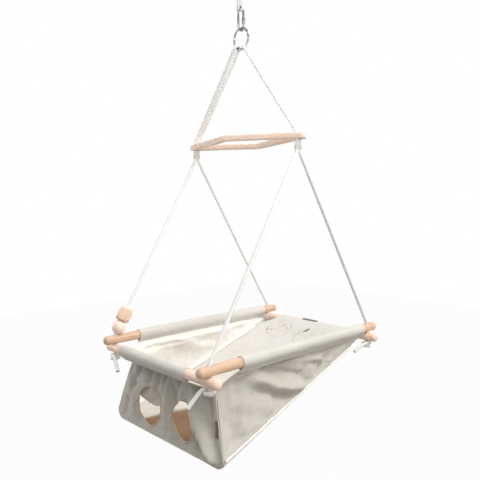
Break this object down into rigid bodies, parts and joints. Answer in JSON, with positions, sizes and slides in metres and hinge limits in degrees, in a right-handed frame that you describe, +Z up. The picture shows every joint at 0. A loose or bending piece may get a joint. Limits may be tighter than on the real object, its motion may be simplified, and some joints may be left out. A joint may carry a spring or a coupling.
{
  "type": "hanging baby cradle",
  "caption": "Canvas baby cradle laced on a frame of crossing beech rods, hung by knotted ropes from a wooden spreader, a steel ring, a carabiner and a rope loop",
  "frame": {"origin": "the point where the rope loop at the top hangs on its hook", "axes": "+Z up, +X from the foot end with the leg holes to the head end, +Y from the near long side to the far one"},
  "size_m": [0.7587, 0.54, 1.3282],
  "materials": {
    "rope": "white braided cotton rope",
    "steel": "polished steel",
    "beech_board": "oiled beech board, plain sawn",
    "beech": "oiled beech, turned",
    "canvas": "undyed cotton canvas",
    "binding": "tan cotton bias binding",
    "tag": "dark brown woven label, blank"
  },
  "bodies": {
    "hanger": {"hanging_loop": "rope", "loop_whipping": "rope"},
    "carabiner": {"carabiner_body": "steel", "gate_pin": "steel"},
    "gate": {"carabiner_gate": "steel"},
    "lock": {"carabiner_lock_sleeve": "steel"},
    "cradle": {"rope_far": "rope", "rope_near": "rope", "neck_band_near": "rope", "neck_band_far": "rope", "hanging_ring": "steel", "spreader": "beech_board", "long_rod_near": "beech", "long_rod_far": "beech", "foot_rod": "beech", "head_rod": "beech", "near_side_panel": "canvas", "far_side_panel": "canvas", "foot_panel": "canvas", "leg_hole_flap": "canvas", "base_sheet": "canvas", "leg_hole_binding_near": "binding", "leg_hole_binding_far": "binding", "side_tag": "tag", "head_tag": "tag"},
    "sphere": {"sphere_bead": "beech"},
    "faceted": {"faceted_bead": "beech"}
  },
  "joints": [
    {"name": "side_swing", "type": "hinge", "parent": "hanger", "child": "carabiner", "pos_m": [0, 0, -0.0412], "axis": [1, 0, 0], "range_deg": [-20, 20]},
    {"name": "end_swing", "type": "hinge", "parent": "carabiner", "child": "cradle", "pos_m": [0, 0, -0.10415], "axis": [0, 1, 0], "range_deg": [-20, 20]},
    {"name": "carabiner_gate_hinge", "type": "hinge", "parent": "carabiner", "child": "gate", "pos_m": [0.0105, 0, -0.0987], "axis": [0, -1, 0], "range_deg": [0, 15], "stiffness_Nm_per_rad": 0.05, "springref_deg": -11.46},
    {"name": "lock_sleeve_slide", "type": "slide", "parent": "gate", "child": "lock", "axis": [0, 0, 1], "range_m": [0, 0.018]},
    {"name": "sphere_bead_slide", "type": "slide", "parent": "cradle", "child": "sphere", "axis": [0.5162, 0.0031, 0.8564], "range_m": [0, 0.25]},
    {"name": "faceted_bead_slide", "type": "slide", "parent": "sphere", "child": "faceted", "axis": [0.5162, 0.0031, 0.8564], "range_m": [0, 0.25]}
  ]
}
